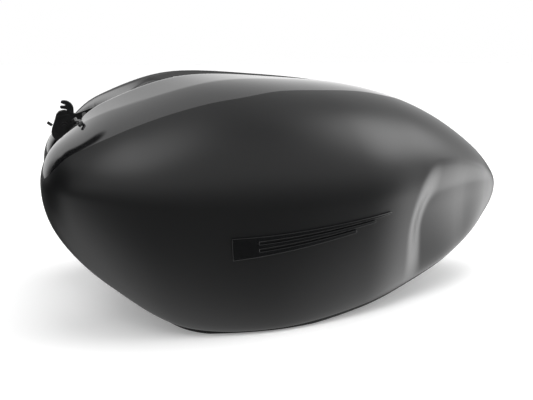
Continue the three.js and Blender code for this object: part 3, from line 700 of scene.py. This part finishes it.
def pan_half():
    """One half of the pan: in front of the recess only the slope, behind it the roof as well."""
    plain, inset, across, low, high = pan_section()[:, None, :, None]
    nose = np.linspace(0, 1, 24)[:-1]
    body_s = np.linspace(PAN_START, 9.98, 240)
    stations = np.concatenate([mix(PAN_NOSE, PAN_START, nose), body_s])
    outer = rail(RIM, body_s)
    x = outer[:, 0] - 22 * ease((body_s - 8.6) / 1.4)
    roof = mix(TUNNEL_ROOF, TUNNEL_TAIL, clamp((x - 200) / 115))
    half = np.minimum(TUNNEL_HALF, -outer[:, 1] * 0.55)
    inner = np.stack([x, -half, np.maximum(roof, outer[:, 2] + 1)], -1)
    inner[0] = (RECESS_X + SEAM_GAP, inner[0, 1], RIM[0][2])
    front = inboard(RIM, mix(PAN_NOSE, 0.0, nose), PAN_NOSE_GAP + 0 * nose)
    inner = np.concatenate([front, inner])[:, None]
    rim = inboard(RIM, stations, np.where(stations < PAN_START, PAN_NOSE_GAP, SEAM_GAP))[:, None]
    s, depth = np.broadcast_arrays(stations[:, None], inset[..., 0])
    formed = mix(inboard(RIM, s, depth), inner, across)
    floor = np.minimum(np.maximum(LOBE_FLOOR, rim[..., 2:] + 8), mix(rim[..., 2:], inner[..., 2:], 0.5))
    formed[..., 2:] = mix(mix(rim[..., 2:], floor, low), inner[..., 2:], high)
    points = mix(mix(rim, inner, plain), formed, ease((stations - PAN_START) / 1.2)[:, None, None])
    slope_rows = points.shape[1] - 1
    points = np.concatenate([points, to_middle(points[:, -1], 8)], 1)
    faces, _, _ = grid_faces(*points.shape[:2], lambda i, j: (i >= len(nose)) | (j < slope_rows))
    return points.reshape(-1, 3), faces


def make_pan():
    points, faces = pan_half()
    both = np.concatenate([points, points * MIRROR])
    quads = np.concatenate([faces[:, ::-1], faces + len(points)])
    mesh = mesh_from("tunnel_pan_skin", both, quads)
    weld(mesh)
    piece = baked(thicken(piece_for("tunnel_pan", "tunnel_pan_skin", mesh)))
    low, high = LOBE_FLOOR - 14, LOBE_FLOOR + 16
    bolts = [0.3 + k * 2 * math.pi / 5 for k in range(5)]
    carve(piece, cylinder(PUMP_HOLE, low, high, PUMP_X, PUMP_Y),
          cylinder(VENT_HOLE, low, high, VENT_X, VENT_Y, 32),
          *[cylinder(BOLT_HOLE, low, high, PUMP_X + PUMP_BOLTS * math.cos(a),
                     PUMP_Y + PUMP_BOLTS * math.sin(a), 24) for a in bolts])
    sharpen(piece.data, 40)


make_pan()


# ---- recess wall, seam flanges and badges ----

FIT = 0.3  # gap between touching pieces


def sheet_piece(name, node, outer, inner, *materials, flip=False, round_mm=0.4, keep=None):
    points, faces = closed_sheet(outer, inner, keep)
    mesh = mesh_from(name, points * (MIRROR if flip else 1), faces)
    with editing(mesh) as bm:
        bmesh.ops.delete(bm, geom=[v for v in bm.verts if not v.link_faces], context="VERTS")
    face_outwards(mesh)
    rounded(piece_for(node, name, mesh, *materials), round_mm, 50)


def make_recess_wall():
    t = np.linspace(0, 2, 120)
    edge = loft(0.0, t)
    run = loft(0.0, np.minimum(2, t + STEP)) - loft(0.0, np.maximum(0, t - STEP))
    inwards = unit(np.stack([-run[:, 2], 0 * t, run[:, 0]], -1))
    across = np.linspace(-1, 1, 13)[:, None]
    face = np.repeat(edge[None], len(across), 0)
    face[..., 1] = across * (-edge[:, 1] - SEAM_GAP)
    sheet_piece("recess_wall_skin", "head_recess_wall", face, face + SHEET * inwards)


FLANGE_START, FLANGE_END = 3.62, 9.2  # stations
FLANGE_INSET, FLANGE_SHEET, FLANGE_DEPTH = 5, 1.6, 6


def make_flange(name, node, flip):
    drop = np.linspace(0, 1, 5)
    s = np.linspace(FLANGE_START, FLANGE_END, 260)[:, None] + 0 * drop

    def face(inset):
        points = inboard(RIM, s, inset + 0 * s)
        top = points[..., 2] - FIT
        points[..., 2] = mix(top, np.maximum(0, points[..., 2] - FLANGE_DEPTH), drop)
        return points

    sheet_piece(name, node, face(FLANGE_INSET), face(FLANGE_INSET + FLANGE_SHEET), flip=flip)


BADGE_PAINT = satin_paint("badge_paint", roughness=0.15)
BADGE_START, BADGE_END = (4.66, 1.185), (6.3, 1.09)  # (station, height) of its ends
BADGE_HALF, BADGE_TAPER = 0.06, 0.45  # half its height, and the share of it left at the rear
BADGE_TOP = 2.4  # above the skin
BADGE_LINES = (-1, -0.5, -0.25, 0.22, 0.47, 1)  # edges of bar, slot, bar, slot, bar
BAR_CELLS = np.array((84, 54, 72, 42, 60))  # cells along each of them
JOINED_CELLS = 12  # cells at the front where the bars are one piece
BAND_CELLS = 4  # cells across each of them


def make_badge(name, node, flip):
    share = np.linspace(0, 1, BAR_CELLS.max() + 1)[:, None]
    bands = zip(BADGE_LINES, BADGE_LINES[1:])
    line = np.concatenate([np.linspace(a, b, BAND_CELLS + 1)[:-1] for a, b in bands] + [[1]])
    s, middle = (mix(a, b, share) for a, b in zip(BADGE_START, BADGE_END))
    t = middle + line * BADGE_HALF * mix(1, BADGE_TAPER, share)

    def keep(i, j):
        band = j // BAND_CELLS
        return i < np.where(band % 2 == 0, BAR_CELLS[band], JOINED_CELLS)

    sheet_piece(name, node, skin(s, t, BADGE_TOP), skin(s, t, FIT), BADGE_PAINT, flip=flip, round_mm=0.9,
                keep=keep)


make_recess_wall()
for side, turned_over in (("left", False), ("right", True)):
    make_flange(f"seam_flange_{side}_folded", f"seam_flange_{side}", turned_over)
    make_badge(f"badge_{side}_raised", f"badge_{side}", turned_over)


# ---- guide at the front of the channel ----


def moulded(name, node, parts, cuts=(), round_mm=0.7):
    """One moulding made of overlapping prisms, less the cuts, with rounded edges."""
    mesh = bpy.data.meshes.new(name)
    with editing(mesh) as bm:
        for part in parts:
            bm.from_mesh(part)
    piece = piece_for(node, name, mesh, GUIDE_PLASTIC)
    if cuts:
        carve(piece, *cuts)
    rounded(piece, round_mm, 40)


GUIDE_PLASTIC = moulding("guide_moulding", (0.0035, 0.0037, 0.004), 0.3)

moulded(
    "guide_block_moulded", "guide_block",
    [
        prism(softened([
            (-286.2, 213), (-276.6, 203.4), (-262, 212), (-257.6, 222), (-256.6, 241), (-259.8, 242.4),
            (-269, 246.4), (-279.2, 244), (-283.4, 231), (-287.6, 220),
        ]), -6.2, 7),
        prism(disc(5.4, -271, 226), -7.4, -5),
        prism([(-281.5, 236), (-264, 239), (-264, 241), (-280.6, 238.4)], -7, -5),
        prism([(-283.6, 217), (-276, 207), (-274, 208), (-281.6, 218)], -7, -5),
    ],
    [
        prism([(-259.3, 220), (-250, 220), (-250, 250), (-259.3, 250)], -1.8, 1.8),
        prism(disc(2.6, -271, 226, 6), -9, -6),
        prism([(-277.5, 241), (-269, 243), (-269, 249), (-279, 247)], -3.5, 3.5),
    ],
)
moulded("guide_claw", "guide_hook", [prism(softened([
    (-258.7, 241), (-258.9, 250.2), (-261.4, 254.4), (-265, 257), (-269, 258.2), (-273.2, 257.9),
    (-274.6, 255), (-271, 253.6), (-268.6, 252.4), (-269.6, 251.4), (-275.3, 251.6), (-275, 248),
    (-270, 247.4), (-266.6, 246.6), (-267.4, 243.4),
]), -5, 5)], round_mm=1.0)


# ---- filler cap ring and lid ----

RING_INNER, RING_OUTER, RING_FOOT, RING_TOP = 42, 60, 279.6, 283.2
CAP_SCREWS, SCREW_HOLE = 53, 2.8  # radius of the ring of screws, and of each hole
HINGE_X, HINGE_Z, KNUCKLE, PIN_HOLE = -121, 281.4, 2.2, 1.5
PLUG_FOOT, SEAL_FACE, LID_FOOT, LID_TOP = 263, 274.6, 279.9, 283.4
LOCK_X, LOCK_HOLE, LOCK_FOOT = -58, 6.8, 278.6
FLAP_Y, FLAP_HOLE, FLAP_FOOT = 12, 1.8, 280.2
ABOVE = 300  # clear of the top of the cap


def hinge_rod(radius, half):
    return prism(disc(radius, HINGE_X, HINGE_Z), -half, half)


def make_cap_ring():
    ring = piece_for("cap_ring", "cap_ring_turned", turned([
        (RING_INNER, RING_FOOT), (RING_OUTER, RING_FOOT), (RING_OUTER, RING_TOP - 1),
        (RING_OUTER - 1.2, RING_TOP), (RING_INNER, RING_TOP),
    ], CAP_X))
    screws = [math.pi / 6 + k * math.pi / 3 for k in range(6)]
    carve(ring, upright(HINGE_X - 5, HINGE_X + 6, 11, 266, ABOVE), hinge_rod(PIN_HOLE, 17),
          *[cylinder(SCREW_HOLE, 270, 290, CAP_X + CAP_SCREWS * math.cos(a), CAP_SCREWS * math.sin(a), 32)
            for a in screws])
    rounded(ring, 0.3, 40)


def make_cap_lid():
    lid = piece_for("cap_lid", "cap_lid_turned", turned([
        (0, PLUG_FOOT), (20, PLUG_FOOT), (22, PLUG_FOOT + 2), (22, SEAL_FACE), (36, SEAL_FACE),
        (36, LID_FOOT), (41, LID_FOOT), (41, LID_TOP - 0.8), (40, LID_TOP), (0, LID_TOP),
    ], CAP_X))
    carve(lid, upright(HINGE_X - 19, HINGE_X + 9, 40, LID_FOOT - 0.01, ABOVE))
    knuckle = upright(HINGE_X, HINGE_X + 16, 10, LID_FOOT, HINGE_Z + KNUCKLE)
    carve(lid, knuckle, operation="UNION")
    carve(lid, hinge_rod(KNUCKLE, 10), operation="UNION")
    latch_slot = upright(-62, -34.8, 5.3, 276.2, 278.9)
    carve(lid, hinge_rod(PIN_HOLE, 20), cylinder(LOCK_HOLE, LOCK_FOOT, ABOVE, LOCK_X),
          cylinder(FLAP_HOLE, FLAP_FOOT, ABOVE, LOCK_X, FLAP_Y, 32), latch_slot)
    rounded(lid, 0.3, 40)


make_cap_ring()
make_cap_lid()


# ---- CAD shapes that keep their form ----


def finished(node, *materials):
    """A copy of a CAD node with its flat facets joined, its edges rounded and its curves smooth."""
    mesh = NODES[node].data.copy()
    with editing(mesh) as bm:
        bmesh.ops.remove_doubles(bm, verts=bm.verts, dist=WELD / 10)
        bmesh.ops.dissolve_limit(bm, angle_limit=math.radians(0.6), verts=bm.verts, edges=bm.edges)
    mesh.materials.clear()
    rounded(piece_for(node, node + "_finished", mesh, *materials), 0.35, 30)


GUIDE_PARTS = {"guide_strap", "guide_pin", "guide_clip"}
REMADE = {
    "left_side_shell", "right_side_shell", "centre_channel_panel", "tunnel_pan", "head_recess_wall",
    "seam_flange_left", "seam_flange_right", "badge_left", "badge_right", "guide_block", "guide_hook",
    "cap_ring", "cap_lid",
}
for cad_node in sorted(set(NODES) - REMADE):
    finished(cad_node, *([GUIDE_PLASTIC] if cad_node in GUIDE_PARTS else []))


# ---- studio ----


def make_floor():
    mesh = bpy.data.meshes.new("studio_floor")
    with editing(mesh) as bm:
        bmesh.ops.create_grid(bm, x_segments=8, y_segments=8, size=12)
    mesh.materials.append(floor_material())
    floor = linked("studio_floor", mesh)
    floor.location.z = cad_box[0][2] - 0.0005
    floor.visible_glossy = False  # the studio's own floor tone shows in the paint instead


def aim(thing, target):
    direction = Vector(target) - thing.location
    thing.rotation_euler = direction.to_track_quat("-Z", "Y").to_euler()


def make_overhead_light():
    data = bpy.data.lights.new("overhead", "AREA")
    data.shape = "RECTANGLE"
    data.size = data.size_y = 2.2
    data.energy = 30
    light = linked("overhead", data)
    light.location = (0.5, 0.1, 2.0)
    aim(light, (0.2, 0, 0))
    light.visible_glossy = False  # it lights the floor without showing as a patch in the paint


# Brightness of the studio by angle in degrees: -90 is the floor, 0 the camera's side, 90 the ceiling
# and 180 the wall behind. The camera itself sees plain white.
STUDIO = [
    (-180, 0.1), (-150, 0.1), (-130, 0.6), (-100, 1.05), (-75, 1.35), (-55, 1.15), (-40, 0.95), (-31, 0.6),
    (-22, 0.02), (-10, 0.04), (0, 0.12), (9, 0.35), (18, 0.75), (50, 0.62), (62, 0.4), (80, 0.62),
    (108, 0.7), (140, 0.85), (180, 1.0),
]
# Soft patches of light (or, below zero, of dark) in the studio: direction, cosine of their edge,
# added brightness.
PATCHES = [
    ((-0.42, -0.46, 0.78), 0.9, 2.4),
    ((0.84, -0.08, 0.55), 0.915, 3.8),
    ((0.93, 0.20, -0.28), 0.85, 2.7),
    ((-0.57, 0.31, 0.76), 0.992, -0.8),
    ((-0.68, 0.34, 0.65), 0.988, -1.0),
    ((-0.80, 0.33, 0.50), 0.984, -1.0),
    ((-0.88, 0.30, 0.36), 0.98, -1.0),
    ((-0.96, 0.18, 0.12), 0.8, -1.0),
]


def make_world():
    world = bpy.data.worlds.new("studio")
    bpy.context.scene.world = world
    world.use_nodes = True
    tree = world.node_tree

    def add(kind, *sources, **settings):
        """A node with its settings, its first inputs fed from the sources or set to the numbers."""
        node = tree.nodes.new(kind)
        for key, value in settings.items():
            setattr(node, key, value)
        for source, target in zip(sources, node.inputs):
            if isinstance(source, bpy.types.NodeSocket):
                tree.links.new(source, target)
            else:
                target.default_value = source
        return node

    where = add("ShaderNodeTexCoord").outputs["Generated"]
    split = add("ShaderNodeSeparateXYZ", where)
    towards = add("ShaderNodeMath", split.outputs["Y"], -1, operation="MULTIPLY")
    angle = add("ShaderNodeMath", split.outputs["Z"], towards.outputs[0], operation="ARCTAN2")
    share = add("ShaderNodeMapRange", angle.outputs[0], -math.pi, math.pi)
    ramp = add("ShaderNodeValToRGB", share.outputs["Result"])
    steps = ramp.color_ramp.elements
    while len(steps) < len(STUDIO):
        steps.new(0.5)
    for step, (degrees, level) in zip(steps, STUDIO):
        step.position = (degrees + 180) / 360
        step.color = (level, level, level, 1)
    level = ramp.outputs["Color"]
    for direction, edge, strength in PATCHES:
        dot = add("ShaderNodeVectorMath", where, Vector(direction).normalized(), operation="DOT_PRODUCT")
        patch = add("ShaderNodeMapRange", dot.outputs["Value"], edge, 1, 0, strength,
                    interpolation_type="SMOOTHSTEP")
        level = add("ShaderNodeVectorMath", level, patch.outputs["Result"]).outputs["Vector"]
    lit = add("ShaderNodeVectorMath", level, operation="MAXIMUM")
    is_seen = add("ShaderNodeLightPath").outputs["Is Camera Ray"]
    seen = add("ShaderNodeMix", is_seen, data_type="RGBA")
    tree.links.new(lit.outputs["Vector"], seen.inputs["A"])
    seen.inputs["B"].default_value = (1, 1, 1, 1)
    tree.links.new(seen.outputs["Result"], tree.nodes["Background"].inputs["Color"])


CAMERA_PLACE = in_row((-269.5, -982.4, 325.3))
CAMERA_TARGET = in_row((-6.6, 0, 116.1))
CAMERA_LENS = 50.7


def make_camera():
    data = bpy.data.cameras.new("camera")
    data.lens = CAMERA_LENS
    data.sensor_width = 36
    camera = linked("camera", data)
    camera.location = CAMERA_PLACE
    aim(camera, CAMERA_TARGET)
    bpy.context.scene.camera = camera


make_floor()
make_world()
make_overhead_light()
make_camera()
bpy.context.scene.view_settings.view_transform = "Standard"
